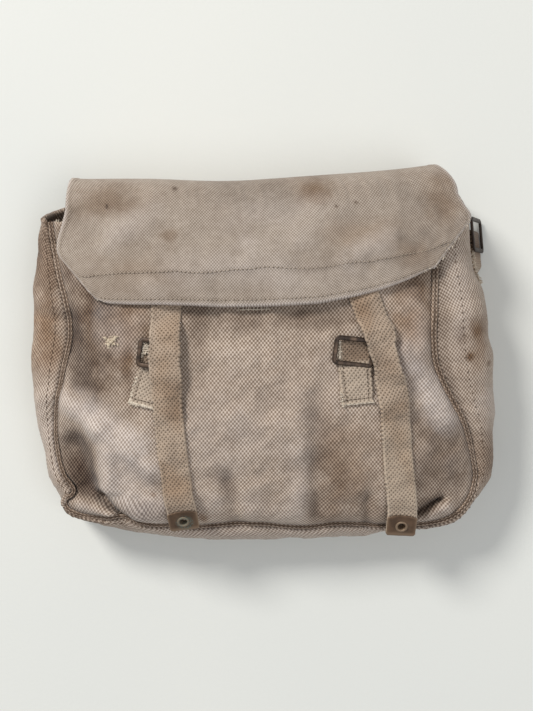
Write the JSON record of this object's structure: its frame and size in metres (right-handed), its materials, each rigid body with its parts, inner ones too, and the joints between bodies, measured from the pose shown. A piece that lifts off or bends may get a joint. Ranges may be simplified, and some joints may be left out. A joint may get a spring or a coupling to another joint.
{
  "type": "haversack",
  "caption": "Small boxed cotton-webbing haversack lying on its back, with a cut-cornered flap, two tipped closing straps, front buckles and a brace buckle.",
  "frame": {"origin": "middle of the back panel's resting face", "axes": "+X to the wearer's left across the bag, +Y up the bag towards the flap's fold, +Z out through the front"},
  "size_m": [0.341, 0.2731, 0.0828],
  "materials": {
    "bag_canvas": "coarse woven cotton, washed out and stained",
    "flap_canvas": "coarse woven cotton, doubled, greyed by wear",
    "strap_webbing": "narrow cotton webbing with firm edges, frayed where cut",
    "aged_brass": "brass gone dark brown, with green traces"
  },
  "bodies": {
    "root": {"front_panel": "bag_canvas", "gusset": "bag_canvas", "back_panel": "bag_canvas", "back_seam": "bag_canvas", "front_seam": "bag_canvas", "flap": "flap_canvas", "left_closing_strap": "strap_webbing", "left_strap_tip": "aged_brass", "left_tip_eyelet": "aged_brass", "right_closing_strap": "strap_webbing", "right_strap_tip": "aged_brass", "right_tip_eyelet": "aged_brass", "left_buckle_tab": "strap_webbing", "left_buckle": "aged_brass", "right_buckle_tab": "strap_webbing", "right_buckle": "aged_brass", "brace_tab": "strap_webbing", "brace_buckle": "aged_brass"}
  },
  "joints": []
}
